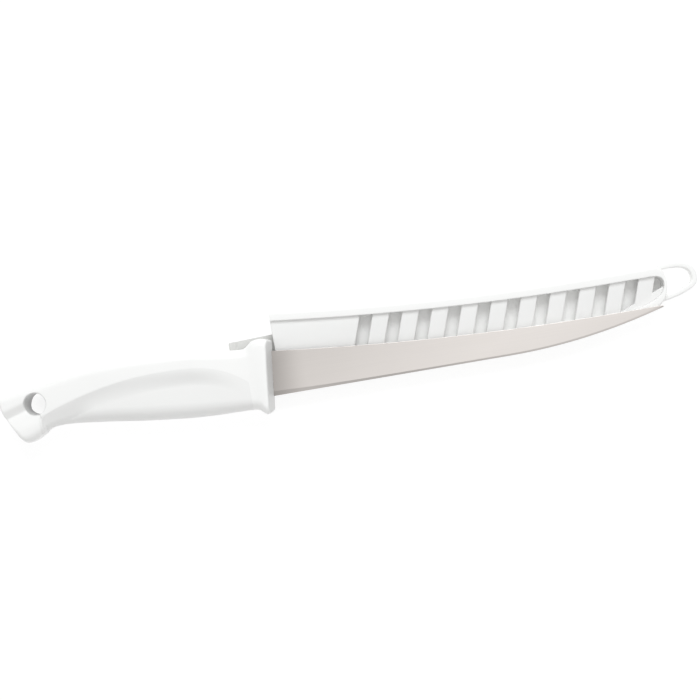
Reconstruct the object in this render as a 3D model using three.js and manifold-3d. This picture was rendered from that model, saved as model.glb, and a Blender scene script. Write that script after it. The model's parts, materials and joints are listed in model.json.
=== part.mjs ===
// A fillet knife lying on its own vented sheath, in millimetres with +Z up.
// The sheath lies on its flat back. X runs along the blade to the tip and Y towards the blade's spine.
// The origin is on the sheath's back, on the axis that the blade has when it is in the sheath.

import * as THREE from 'three';
import { mergeVertices } from 'three/addons/utils/BufferGeometryUtils.js';
import Module from 'manifold-3d';

// Clearance between pieces that touch or are moulded together
const FIT_GAP = 0.3;

// Blade, measured from its heel plane and from its axis, which is parallel to the straight edge
const BLADE_LENGTH = 190;
const BLADE_THICKNESS = 2;
const TIP_THICKNESS = 0.9;
const TIP_HEIGHT = 0.8;
const SPINE_ABOVE_AXIS = 10.5;
const SPINE_DROP = 10;
const SPINE_LEVELS_AT = 165;
const EDGE_BELOW_AXIS = 11.2;
const EDGE_RISES_AT = 112;
const BEVEL_HEIGHT = 2.2;
const EDGE_FLAT = 0.3;
const HEEL_IN_COLLAR = 8;

// Tang, which continues the blade inside the handle
const TANG_LENGTH = 95;
const TANG_TOP = 8;
const TANG_BOTTOM = -3;
const TANG_HOLE = 6.5;
const TANG_HOLE_COUNT = 3;
const TANG_HOLE_FIRST = 24;
const TANG_HOLE_PITCH = 28;

// Handle lengths, measured back from the heel plane
const COLLAR_SETBACK = 1.2;
const COLLAR_DEPTH = 14;
const COLLAR_CREST = 4.4;
const COLLAR_LEAN = 6.5;
const COLLAR_RAKE = 18;
const GRIP_LENGTH = 97;
const GRIP_TAIL = 4;
const POMMEL_LENGTH = 23.8;
const BEAK_FROM_WAIST = 11.3;

// Handle heights above and below the blade's axis, and places along the grip as shares of its length
const BUTT_TOP = 10.6;
const WAIST_TOP = 14.8;
const REAR_TOP = 18;
const BACK_TOP = 19.1;
const SHOULDER_TOP = 17.6;
const NECK_TOP = 13.8;
const COLLAR_TOP = 17.5;
const BEAK_FOOT = 13.3;
const WAIST_FOOT = 8;
const REAR_FOOT = 9.2;
const BACK_FOOT = 12.6;
const BELLY_FOOT = 15.5;
const NECK_FOOT = 16.2;
const COLLAR_FOOT = 19.7;
const COLLAR_ROUND = 1.8;
const REAR_SHARE = 0.8;
const BACK_SHARE = 0.55;
const SHOULDER_SHARE = 0.27;

// Handle half thicknesses, and how square its section is
const BUTT_HALF = 8.2;
const WAIST_HALF = 8.4;
const BACK_HALF = 9.8;
const SHOULDER_HALF = 9.6;
const NECK_HALF = 7.6;
const COLLAR_HALF = 8.4;
const SECTION_SQUARENESS = 2.8;

// Crease where the spine band steps down to the grip: an arch with its top nearer the collar
const CREASE_TOP = 9.4;
const CREASE_ENDS = -2.5;
const CREASE_PEAK_SHARE = 0.42;
const CREASE_FRONT_FULLNESS = 3.2;
const CREASE_REAR_FULLNESS = 1.9;
const GRIP_STEP = 1.2;

// Web round the tang, under the grip
const WEB_THICKNESS = 8;
const WEB_WALL = 3;

// Pommel: a round hole, shallow grooves that lead a lanyard from it to the butt, and a slanted butt end
const POMMEL_HOLE = 11;
const POMMEL_HOLE_FROM_BUTT = 17.2;
const POMMEL_HOLE_ABOVE_AXIS = 4.5;
const GROOVE_WIDTH = 8;
const GROOVE_DEPTH = 1.7;
const GROOVE_ANGLE = 17;
const GROOVE_BELOW_HOLE = 2;
const BUTT_CORNER_ABOVE_AXIS = 3.5;
const BUTT_SLANT = 8.6;
const BUTT_SLANT_HEIGHT = 16.5;

// Sheath, measured from its mouth and from the axis of a sheathed blade
const MOUTH_FROM_ORIGIN = 60;
const BLADE_ROOM = 1.7;
const TIP_ROOM = 2.6;
const RIM_WIDTH = 4.5;
const RIM_PROUD = 1.6;
const RIM_ROUND = 1.3;
const PLATE = 1.4;
const CAVITY_DEPTH = 4.6;
const TIP_WALL = 1.7;
const TIP_TURN = 5.6;
const TIP_RISE = 3.6;
const LOWER_RISE_AT = 165;

// Vent slots across the sheath's front
const SLOT_FIRST = 44;
const SLOT_PITCH = 14.62;
const SLOT_WIDTH = 6.4;
const SLOT_LEAN = 19;
const SLOT_LEAST_LENGTH = 3;
const SLOT_FEET_RISE_AT = 168;
const SLOT_FEET_SLOPE = 21;

// Hanging ring at the sheath's tip
const RING_OPENING = 13.6;
const RING_STRAND = 2.8;
const RING_FOOT_BELOW_AXIS = 12;
const RING_RISE = 1.4;
const RING_CREST = 2.4;

// Pins that locate the two shells on each other, along the rim
const PIN_DIAMETER = 2;
const PIN_LENGTH = 2.4;
const PIN_FIRST = 20;
const PIN_PITCH = 66;

// Springy tongue at the sheath's mouth
const TONGUE_WIDTH = 13.5;
const TONGUE_OUT = 22.5;
const TONGUE_IN = 18;
const TONGUE_THICKNESS = 1;
const TONGUE_TAPER = 1.2;
const NIB_HEIGHT = 0.8;
const NIB_LENGTH = 3;

// Where the knife lies on the sheath: how far it is shifted towards its edge side
const KNIFE_SHIFT = 13;

// Mesh fineness, and how far cutting bodies reach past what they cut
const CURVE_STEPS = 10;
const SECTION_POINTS = 28;
const PIN_SIDES = 12;
const EDGE_STEPS = 3;
const CREASE_STEPS = 30;
const BLADE_STATIONS = 24;
const HANDLE_STATION_STEP = 3;
const REACH = 40;
const MERGE_DISTANCE = 1e-4;

// Heights above the table
const faceHeight = PLATE + CAVITY_DEPTH + PLATE;
const rimHeight = faceHeight + RIM_PROUD;
const seamHeight = rimHeight / 2;
const bladeHeight = rimHeight + FIT_GAP + BLADE_THICKNESS / 2;

const wasm = await Module();
wasm.setup();

// A closed three.js geometry as a solid that can be joined and cut
function solid(geometry) {
  geometry.deleteAttribute('normal');
  geometry.deleteAttribute('uv');
  const merged = mergeVertices(geometry, MERGE_DISTANCE);
  return new wasm.Manifold(new wasm.Mesh({
    numProp: 3,
    vertProperties: new Float32Array(merged.attributes.position.array),
    triVerts: new Uint32Array(merged.index.array),
  }));
}

// A finished solid as a named mesh
function piece(name, body, material) {
  const { vertProperties, triVerts } = body.getMesh();
  const geometry = new THREE.BufferGeometry();
  geometry.setAttribute('position', new THREE.BufferAttribute(vertProperties, 3));
  geometry.setIndex(new THREE.BufferAttribute(triVerts, 1));
  geometry.computeVertexNormals();
  const mesh = new THREE.Mesh(geometry, material);
  mesh.name = name;
  return mesh;
}

// A flat shape raised between two heights
function prism(shape, bottom, top) {
  const options = { depth: top - bottom, bevelEnabled: false, curveSegments: CURVE_STEPS };
  return solid(new THREE.ExtrudeGeometry(shape, options).translate(0, 0, bottom));
}

// A flat shape raised between two heights, with its outer edges rounded
function roundedPrism(shape, bottom, top, round) {
  const options = {
    depth: top - bottom - 2 * round,
    bevelThickness: round,
    bevelSize: round,
    bevelOffset: -round,
    bevelSegments: EDGE_STEPS,
    curveSegments: CURVE_STEPS,
  };
  return solid(new THREE.ExtrudeGeometry(shape, options).translate(0, 0, bottom + round));
}

// A box between two corners
function box(low, high) {
  const size = high.map((value, axis) => value - low[axis]);
  const middle = high.map((value, axis) => (value + low[axis]) / 2);
  return solid(new THREE.BoxGeometry(...size).translate(...middle));
}

// A closed skin over rings of points, which run along +X and turn from +Y towards +Z
function loft(rings) {
  const count = rings[0].length;
  const last = (rings.length - 1) * count;
  const faces = [];
  for (let ring = 0; ring < rings.length - 1; ring++) {
    for (let i = 0; i < count; i++) {
      const next = (i + 1) % count;
      const [a, b] = [ring * count + i, ring * count + next];
      faces.push(a, b, a + count, b, b + count, a + count);
    }
  }
  for (let i = 1; i < count - 1; i++) {
    faces.push(0, i + 1, i, last, last + i, last + i + 1);
  }
  const geometry = new THREE.BufferGeometry().setFromPoints(rings.flat());
  geometry.setIndex(faces);
  return solid(geometry);
}

// A smooth height along X through [x, height] points in order of rising x
function lineThrough(points) {
  const end = points.length - 1;
  const slope = (i) => {
    const [x0, y0] = points[Math.max(i - 1, 0)];
    const [x1, y1] = points[Math.min(i + 1, end)];
    return (y1 - y0) / (x1 - x0);
  };
  return (x) => {
    const after = points.findIndex((point) => point[0] > x);
    const i = (after < 0 ? end : Math.max(after, 1)) - 1;
    const [x0, y0] = points[i];
    const [x1, y1] = points[i + 1];
    const run = x1 - x0;
    const t = (x - x0) / run;
    const ease = t * t * (3 - 2 * t);
    const bend = t * (1 - t) * ((1 - t) * slope(i) - t * slope(i + 1));
    return y0 + (y1 - y0) * ease + run * bend;
  };
}

// Blade outline: the spine falls along a parabola, and the edge is straight until it sweeps up to the tip
const tipAboveAxis = SPINE_ABOVE_AXIS - SPINE_DROP;

function spineAt(x) {
  const left = 1 - Math.min(x, SPINE_LEVELS_AT) / SPINE_LEVELS_AT;
  return tipAboveAxis + SPINE_DROP * Math.min(left, 1) ** 2;
}

function edgeAt(x) {
  const swept = Math.max(x - EDGE_RISES_AT, 0) / (BLADE_LENGTH - EDGE_RISES_AT);
  return (tipAboveAxis - TIP_HEIGHT + EDGE_BELOW_AXIS) * swept ** 2 - EDGE_BELOW_AXIS;
}

// Blade and tang: the blade thins towards the tip, and the tang is a plate with locking holes
function tangShape(gap) {
  const shape = new THREE.Shape();
  shape.moveTo(-HEEL_IN_COLLAR / 2, TANG_BOTTOM - gap);
  shape.lineTo(-HEEL_IN_COLLAR / 2, TANG_TOP + gap);
  shape.lineTo(-TANG_LENGTH - gap, TANG_TOP + gap);
  shape.lineTo(-TANG_LENGTH - gap, TANG_BOTTOM - gap);
  for (let i = 0; i < TANG_HOLE_COUNT; i++) {
    const hole = new THREE.Path();
    const x = -TANG_HOLE_FIRST - i * TANG_HOLE_PITCH;
    hole.absarc(x, (TANG_TOP + TANG_BOTTOM) / 2, TANG_HOLE / 2 - gap, 0, 2 * Math.PI);
    shape.holes.push(hole);
  }
  return shape;
}

function bladeSection(x, gap) {
  const along = Math.max(x, 0) / BLADE_LENGTH;
  const half = (BLADE_THICKNESS + (TIP_THICKNESS - BLADE_THICKNESS) * along) / 2 + gap;
  const spine = spineAt(x) + gap;
  const edge = edgeAt(x) - gap;
  const bevel = edge + Math.min(BEVEL_HEIGHT, (spine - edge) / 2);
  const edgeHalf = Math.min(EDGE_FLAT / 2 + gap, half);
  const corners = [
    [spine, -half], [spine, half], [bevel, half],
    [edge, edgeHalf], [edge, -edgeHalf], [bevel, -half],
  ];
  return corners.map(([y, z]) => new THREE.Vector3(x, y, z));
}

// The steel's outline grown by a gap all round, as far as the given end
function steel(gap, end) {
  const rings = [];
  const start = -HEEL_IN_COLLAR - gap;
  for (let i = 0; i <= BLADE_STATIONS; i++) {
    rings.push(bladeSection(start + (end - start) * i / BLADE_STATIONS, gap));
  }
  const half = BLADE_THICKNESS / 2 + gap;
  return loft(rings).add(prism(tangShape(gap), -half, half));
}

// Handle outline: top, foot and half thickness at a few places from butt to collar
const collarFront = -COLLAR_SETBACK;
const collarCrest = collarFront - COLLAR_CREST;
const neck = collarFront - COLLAR_DEPTH;
const waist = neck - GRIP_LENGTH;
const gripEnd = waist - GRIP_TAIL;
const beak = waist - BEAK_FROM_WAIST;
const butt = waist - POMMEL_LENGTH;
const shoulder = neck - SHOULDER_SHARE * GRIP_LENGTH;
const back = neck - BACK_SHARE * GRIP_LENGTH;
const rear = neck - REAR_SHARE * GRIP_LENGTH;

const handleTop = lineThrough([
  [butt, BUTT_TOP], [waist, WAIST_TOP], [rear, REAR_TOP], [back, BACK_TOP], [shoulder, SHOULDER_TOP],
  [neck, NECK_TOP], [collarCrest, COLLAR_TOP], [collarFront, COLLAR_TOP - COLLAR_ROUND],
]);
const handleFoot = lineThrough([
  [butt, -BEAK_FOOT], [beak, -BEAK_FOOT], [waist, -WAIST_FOOT], [rear, -REAR_FOOT], [back, -BACK_FOOT],
  [shoulder, -BELLY_FOOT], [neck, -NECK_FOOT], [collarCrest, -COLLAR_FOOT],
  [collarFront, COLLAR_ROUND - COLLAR_FOOT],
]);
const handleHalf = lineThrough([
  [butt, BUTT_HALF], [waist, WAIST_HALF], [back, BACK_HALF], [shoulder, SHOULDER_HALF],
  [neck, NECK_HALF], [collarCrest, COLLAR_HALF], [collarFront, COLLAR_HALF - COLLAR_ROUND / 2],
]);

// A round-cornered section across the handle; the collar's front face leans back towards its foot
function handleSection(x, inset) {
  const top = handleTop(x);
  const foot = handleFoot(x);
  const lean = Math.tan(THREE.MathUtils.degToRad(COLLAR_LEAN));
  const leaning = Math.max(x - neck, 0) / COLLAR_DEPTH;
  const squared = (value) => Math.sign(value) * Math.abs(value) ** (2 / SECTION_SQUARENESS);
  const ring = [];
  for (let i = 0; i < SECTION_POINTS; i++) {
    const turn = 2 * Math.PI * i / SECTION_POINTS;
    const y = (top + foot) / 2 + squared(Math.cos(turn)) * (top - foot) / 2;
    const z = squared(Math.sin(turn)) * (handleHalf(x) - inset);
    ring.push(new THREE.Vector3(x + (y - COLLAR_TOP) * lean * leaning, y, z));
  }
  return ring;
}

function handleBody(inset) {
  const zones = [[butt, waist], [waist, neck], [neck, collarFront]];
  const rings = [handleSection(butt, inset)];
  for (const [start, end] of zones) {
    const steps = Math.ceil((end - start) / HANDLE_STATION_STEP);
    for (let i = 1; i <= steps; i++) {
      rings.push(handleSection(start + (end - start) * i / steps, inset));
    }
  }
  return loft(rings);
}

// The area below the crease that the grip covers, drawn in by a gap
function gripArea(gap) {
  const shape = new THREE.Shape();
  shape.moveTo(gripEnd, -REACH);
  shape.lineTo(neck, -REACH);
  for (let i = 0; i <= CREASE_STEPS; i++) {
    const share = i / CREASE_STEPS;
    const climb = Math.min(share / CREASE_PEAK_SHARE, (1 - share) / (1 - CREASE_PEAK_SHARE));
    const fullness = share < CREASE_PEAK_SHARE ? CREASE_FRONT_FULLNESS : CREASE_REAR_FULLNESS;
    const arch = 1 - (1 - climb) ** fullness;
    shape.lineTo(neck + (gripEnd - neck) * share, CREASE_ENDS + (CREASE_TOP - CREASE_ENDS) * arch - gap);
  }
  const between = box([gripEnd + gap, -REACH, -REACH], [neck - gap, REACH, REACH]);
  return prism(shape, -REACH, REACH).intersect(between);
}

// The web round the tang, which joins collar, spine band and pommel under the grip
function web(gap) {
  const half = WEB_THICKNESS / 2 + gap;
  const low = [gripEnd - WEB_WALL, TANG_BOTTOM - WEB_WALL - gap, -half];
  return box(low, [neck + WEB_WALL, CREASE_TOP + WEB_WALL, half]);
}

// A shallow V from the pommel's hole to the butt, in the upper face or, turned over, in the lower one
function lanyardGroove(turnedOver) {
  const flank = GROOVE_WIDTH / 2 * REACH / GROOVE_DEPTH;
  const shape = new THREE.Shape();
  shape.moveTo(0, 0);
  shape.lineTo(REACH, -flank);
  shape.lineTo(REACH, flank);
  const groove = new THREE.ExtrudeGeometry(shape, { depth: REACH, bevelEnabled: false });
  groove.rotateY(-Math.PI / 2).translate(0, 0, BUTT_HALF - GROOVE_DEPTH);
  groove.rotateX(turnedOver ? Math.PI : 0).translate(0, -GROOVE_BELOW_HOLE, 0);
  groove.rotateZ(THREE.MathUtils.degToRad(GROOVE_ANGLE));
  return solid(groove.translate(butt + POMMEL_HOLE_FROM_BUTT, POMMEL_HOLE_ABOVE_AXIS, 0));
}

// What is cut from the pommel: its hole, the grooves and the slanted end
function pommelCuts() {
  const hole = new THREE.CylinderGeometry(POMMEL_HOLE / 2, POMMEL_HOLE / 2, 2 * REACH, SECTION_POINTS);
  hole.rotateX(Math.PI / 2).translate(butt + POMMEL_HOLE_FROM_BUTT, POMMEL_HOLE_ABOVE_AXIS, 0);
  const end = new THREE.Shape();
  end.moveTo(butt - REACH, BUTT_CORNER_ABOVE_AXIS);
  end.lineTo(butt, BUTT_CORNER_ABOVE_AXIS);
  end.lineTo(butt + BUTT_SLANT, BUTT_CORNER_ABOVE_AXIS - BUTT_SLANT_HEIGHT);
  end.lineTo(butt + BUTT_SLANT, -REACH);
  end.lineTo(butt - REACH, -REACH);
  return solid(hole).add(lanyardGroove(false)).add(lanyardGroove(true)).add(prism(end, -REACH, REACH));
}

// What is cut from the collar's front, which falls back to both sides of the blade
function collarFalls() {
  const fall = REACH * Math.tan(THREE.MathUtils.degToRad(COLLAR_RAKE));
  const shape = new THREE.Shape();
  shape.moveTo(0, 0);
  shape.lineTo(-fall, -REACH);
  shape.lineTo(REACH, -REACH);
  shape.lineTo(REACH, REACH);
  shape.lineTo(-fall, REACH);
  const front = new THREE.ExtrudeGeometry(shape, { depth: 3 * REACH, bevelEnabled: false });
  front.rotateX(Math.PI / 2).translate(0, REACH, 0);
  front.rotateZ(-THREE.MathUtils.degToRad(COLLAR_LEAN));
  return solid(front.translate(collarFront, COLLAR_TOP, 0));
}

const blade = steel(0, BLADE_LENGTH);
const handleCore = handleBody(0)
  .subtract(gripArea(0).subtract(web(0)))
  .subtract(pommelCuts())
  .subtract(collarFalls())
  .subtract(steel(FIT_GAP, REACH));
const handleGrip = handleBody(GRIP_STEP)
  .intersect(gripArea(FIT_GAP))
  .subtract(web(FIT_GAP));

// Sheath outline, grown from the blade's outline by a margin along its length and one at its tip
const heelFromMouth = COLLAR_SETBACK - FIT_GAP;
const cavityEnd = heelFromMouth + BLADE_LENGTH + TIP_ROOM;

function sheathTop(x, margin) {
  return spineAt(x - heelFromMouth) + BLADE_ROOM + margin;
}

function sheathShape(margin, tipMargin, mouth) {
  const end = cavityEnd + tipMargin;
  const low = -EDGE_BELOW_AXIS - BLADE_ROOM - margin;
  const shape = new THREE.Shape();
  shape.moveTo(mouth, low);
  shape.lineTo(LOWER_RISE_AT, low);
  shape.bezierCurveTo(end - 2 * TIP_TURN, low, end, low + TIP_RISE, end, -BLADE_ROOM);
  shape.quadraticCurveTo(end, sheathTop(end, margin), end - TIP_TURN, sheathTop(end, margin));
  for (let i = 1; i < BLADE_STATIONS; i++) {
    const x = (end - TIP_TURN) * (1 - i / BLADE_STATIONS);
    shape.lineTo(x, sheathTop(x, margin));
  }
  shape.lineTo(0, sheathTop(0, margin));
  shape.lineTo(mouth, sheathTop(0, margin));
  return shape;
}

// The whole sheath before it is hollowed, with a square mouth
const mouthCut = box([-2 * REACH, -REACH, -REACH], [0, REACH, REACH]);
const sheathBlock = roundedPrism(sheathShape(RIM_WIDTH, TIP_WALL, -REACH), 0, rimHeight, RIM_ROUND)
  .subtract(mouthCut);

function sheathHollow(bottom, top) {
  return prism(sheathShape(0, 0, -REACH), bottom, top);
}

function sheathSlice(bottom, top) {
  return sheathBlock.intersect(box([-REACH, -REACH, bottom], [cavityEnd + REACH, REACH, top]));
}

// Slanted vent slots that run from rim to rim; near the tip their feet rise along a slope
function ventSlots() {
  const lean = Math.tan(THREE.MathUtils.degToRad(SLOT_LEAN));
  const slots = [];
  for (let x = SLOT_FIRST; x < cavityEnd - SLOT_LEAST_LENGTH; x += SLOT_PITCH) {
    const top = sheathTop(x, 0);
    const shape = new THREE.Shape();
    const edge = (along, y) => [x + along + (y - top) * lean, y];
    shape.moveTo(...edge(0, REACH));
    shape.lineTo(...edge(0, -REACH));
    shape.lineTo(...edge(SLOT_WIDTH, -REACH));
    shape.lineTo(...edge(SLOT_WIDTH, REACH));
    slots.push(prism(shape, 0, rimHeight));
  }
  const low = -EDGE_BELOW_AXIS - BLADE_ROOM;
  const rise = (cavityEnd - SLOT_FEET_RISE_AT) * Math.tan(THREE.MathUtils.degToRad(SLOT_FEET_SLOPE));
  const feet = new THREE.Shape();
  feet.moveTo(SLOT_FEET_RISE_AT, low);
  feet.lineTo(cavityEnd, low);
  feet.lineTo(cavityEnd, low + rise);
  return slots.reduce((all, slot) => all.add(slot))
    .intersect(sheathHollow(0, rimHeight))
    .subtract(prism(feet, 0, rimHeight));
}

// The hanging ring carries the rim's line on past the tip
function ringShape(start, inset) {
  const end = cavityEnd + TIP_WALL + RING_OPENING + RING_STRAND - inset;
  const top = sheathTop(end, RIM_WIDTH) - inset;
  const foot = -RING_FOOT_BELOW_AXIS + inset;
  const shape = new THREE.Shape();
  shape.moveTo(start, foot);
  shape.bezierCurveTo(end - RING_OPENING, foot + RING_RISE, end, foot + 3 * RING_RISE, end, -BLADE_ROOM);
  shape.bezierCurveTo(end, top + RING_CREST / 2, end - RING_OPENING / 2, top + RING_CREST, start, top);
  return shape;
}

// Places along the upper and lower rim where a pin of one shell sits in a socket of the other
function rimPins(diameter, bottom) {
  const low = -EDGE_BELOW_AXIS - BLADE_ROOM - RIM_WIDTH / 2;
  const top = seamHeight + FIT_GAP;
  const pins = [];
  for (let x = PIN_FIRST; x < LOWER_RISE_AT; x += PIN_PITCH) {
    for (const y of [sheathTop(x, RIM_WIDTH / 2), low]) {
      const pin = new THREE.CylinderGeometry(diameter / 2, diameter / 2, top - bottom, PIN_SIDES);
      pin.rotateX(Math.PI / 2).translate(x, y, (top + bottom) / 2);
      pins.push(solid(pin));
    }
  }
  return pins.reduce((all, pin) => all.add(pin));
}

const tongueMiddle = (sheathTop(0, 0) - EDGE_BELOW_AXIS - BLADE_ROOM) / 2;

function tongueNotch() {
  const half = TONGUE_WIDTH / 2 + FIT_GAP;
  const low = [-REACH, tongueMiddle - half, -REACH];
  return box(low, [TONGUE_IN + FIT_GAP, tongueMiddle + half, PLATE + FIT_GAP]);
}

const ringRoot = cavityEnd - 2 * RIM_WIDTH;
const ring = roundedPrism(ringShape(ringRoot, 0), 0, seamHeight - FIT_GAP / 2, RIM_ROUND)
  .subtract(prism(ringShape(cavityEnd + TIP_WALL, RING_STRAND), -REACH, REACH));
const sheathBack = sheathSlice(0, seamHeight - FIT_GAP / 2)
  .add(ring)
  .subtract(sheathHollow(PLATE, rimHeight))
  .subtract(tongueNotch())
  .subtract(rimPins(PIN_DIAMETER + 2 * FIT_GAP, seamHeight - PIN_LENGTH - FIT_GAP));
const sheathFront = sheathSlice(seamHeight + FIT_GAP / 2, rimHeight)
  .subtract(sheathHollow(0, PLATE + CAVITY_DEPTH))
  .subtract(sheathHollow(faceHeight, rimHeight + REACH))
  .subtract(ventSlots())
  .add(rimPins(PIN_DIAMETER, seamHeight - PIN_LENGTH));

// The tongue tapers to a nib that snaps behind the collar
function tongueBody() {
  const half = TONGUE_WIDTH / 2;
  const shape = new THREE.Shape();
  shape.moveTo(TONGUE_IN, tongueMiddle - half);
  shape.lineTo(TONGUE_IN, tongueMiddle + half);
  shape.lineTo(-TONGUE_OUT, tongueMiddle + half - TONGUE_TAPER);
  shape.lineTo(-TONGUE_OUT, tongueMiddle - half + TONGUE_TAPER);
  const top = FIT_GAP + TONGUE_THICKNESS;
  const nib = box([-TONGUE_OUT, -REACH, 0], [NIB_LENGTH - TONGUE_OUT, REACH, top + NIB_HEIGHT]);
  return prism(shape, FIT_GAP, top).add(prism(shape, FIT_GAP, top + NIB_HEIGHT).intersect(nib));
}

const steelFinish = new THREE.MeshStandardMaterial({ color: 0xcfc8c2, roughness: 0.32, metalness: 1 });
const hardWhite = new THREE.MeshStandardMaterial({ color: 0xf5f5f3, roughness: 0.35, metalness: 0 });
const gripWhite = new THREE.MeshStandardMaterial({ color: 0xeeeeec, roughness: 0.6, metalness: 0 });
const sheathWhite = new THREE.MeshStandardMaterial({ color: 0xf3f3f1, roughness: 0.42, metalness: 0 });
const tongueWhite = new THREE.MeshStandardMaterial({ color: 0xe4e4e2, roughness: 0.45, metalness: 0 });

const sheath = new THREE.Group();
sheath.position.x = -MOUTH_FROM_ORIGIN;
sheath.add(piece('sheath_back', sheathBack, sheathWhite));
sheath.add(piece('sheath_front', sheathFront, sheathWhite));
sheath.add(piece('retention_tongue', tongueBody(), tongueWhite));

const knife = new THREE.Group();
knife.position.set(heelFromMouth - MOUTH_FROM_ORIGIN, -KNIFE_SHIFT, bladeHeight);
knife.add(piece('blade', blade, steelFinish));
knife.add(piece('handle_core', handleCore, hardWhite));
knife.add(piece('handle_grip', handleGrip, gripWhite));

const knifeAndSheath = new THREE.Group();
knifeAndSheath.add(sheath, knife);

export default knifeAndSheath;
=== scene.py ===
import json
import math

import bmesh
import bpy
import numpy as np
from mathutils import Matrix, Vector


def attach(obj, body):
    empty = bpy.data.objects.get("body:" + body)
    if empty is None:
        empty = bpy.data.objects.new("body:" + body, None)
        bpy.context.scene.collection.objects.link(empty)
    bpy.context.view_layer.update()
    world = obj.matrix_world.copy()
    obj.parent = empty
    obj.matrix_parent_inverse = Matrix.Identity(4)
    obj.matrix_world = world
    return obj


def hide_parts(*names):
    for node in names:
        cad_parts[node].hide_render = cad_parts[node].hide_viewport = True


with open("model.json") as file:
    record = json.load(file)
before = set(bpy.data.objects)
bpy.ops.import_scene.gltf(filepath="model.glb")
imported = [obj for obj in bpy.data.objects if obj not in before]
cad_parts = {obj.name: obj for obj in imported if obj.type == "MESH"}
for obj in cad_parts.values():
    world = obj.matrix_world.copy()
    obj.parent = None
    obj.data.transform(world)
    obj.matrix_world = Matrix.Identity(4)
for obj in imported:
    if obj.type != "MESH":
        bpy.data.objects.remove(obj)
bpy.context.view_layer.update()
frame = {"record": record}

# Sheath back: the flat lower shell of satin white plastic. It is moulded in one with half of the rounded
# rim and the hanging ring past the tip, and a notch at its mouth leaves room for the tongue.
MM = 0.001
MOUTH = (-60.0, 0.0, 0.0)
CAVITY_END, CAVITY_FOOT, CAVITY_TIP_TOP = 193.5, -12.9, 2.2
HEEL_FROM_MOUTH = 0.9
SPINE_RISE, SPINE_RUN = 10.0, 165.0
SWEEP_FROM, SWEEP_PULL, SWEEP_LIFT = 165.0, 11.2, 3.6
TIP_MIDDLE, TIP_CORNER = -1.7, 5.6
RIM_WIDTH, RIM_ROUND = 4.5, 1.3
TIP_WALL = 1.7
PLATE = 1.4
SEAM, SEAM_HALF_GAP, SEAM_CHAMFER = 4.5, 0.15, 0.25
NOTCH_DEPTH, NOTCH_LOW, NOTCH_HIGH = 18.3, -7.4, 6.7
RING_STRAND, RING_EDGE = 2.8, 0.8
RING_END, RING_TOP, RING_FOOT = 211.6, 6.7, -12.0
RING_FOOT_PULL, RING_FOOT_LIFT, RING_FOOT_CORNER = 13.6, 1.4, 4.2
RING_TOP_PULL, RING_TOP_LIFT, RING_TOP_CORNER = 6.8, 2.4, 1.2
ARC_STEPS = 6
CRISP_ANGLE = 35


class Wire:
    """One socket of a node tree. Arithmetic on wires adds Math nodes to that tree."""

    def __init__(self, tree, socket=None):
        self.tree = tree
        self.socket = socket

    def node(self, kind, settings, sockets, output=0):
        """Adds a node: its settings come first, then each socket gets a value or a link."""
        made = self.tree.nodes.new(kind)
        for name, value in settings.items():
            if name == "stops":
                elements = made.color_ramp.elements
                for number, (place, shade) in enumerate(value):
                    element = elements[number] if number < 2 else elements.new(place)
                    element.position = place
                    element.color = (shade, shade, shade, 1)
            else:
                setattr(made, name, value)
        for name, value in sockets.items():
            if isinstance(value, Wire):
                self.tree.links.new(value.socket, made.inputs[name])
            else:
                made.inputs[name].default_value = value
        return Wire(self.tree, made.outputs[output] if len(made.outputs) else None)

    def noise(self, place, scale, detail):
        return self.node("ShaderNodeTexNoise", {}, {"Vector": place, "Scale": scale, "Detail": detail})

    def mix(self, factor, first, second):
        """A colour between two others, by the colour sockets of a Mix node."""
        sockets = {"Factor": factor, 6: first, 7: second}
        return self.node("ShaderNodeMix", {"data_type": "RGBA"}, sockets, 2)

    def math(self, operation, first, second):
        return self.node("ShaderNodeMath", {"operation": operation}, {0: first, 1: second})

    def __add__(self, other):
        return self.math("ADD", self, other)

    def __sub__(self, other):
        return self.math("SUBTRACT", self, other)

    def __rsub__(self, other):
        return self.math("SUBTRACT", other, self)

    def __mul__(self, other):
        return self.math("MULTIPLY", self, other)

    def __truediv__(self, other):
        return self.math("DIVIDE", self, other)

    def __rtruediv__(self, other):
        return self.math("DIVIDE", other, self)

    __radd__ = __add__
    __rmul__ = __mul__


def empty_nodes(holder):
    """Turns on the nodes of a material or a world, clears them and returns the first wire."""
    holder.use_nodes = True
    holder.node_tree.nodes.clear()
    return Wire(holder.node_tree)


def slot_colour(slot):
    return next(m["base_color"] for m in frame["record"]["materials"] if m["slot"] == slot)


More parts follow.
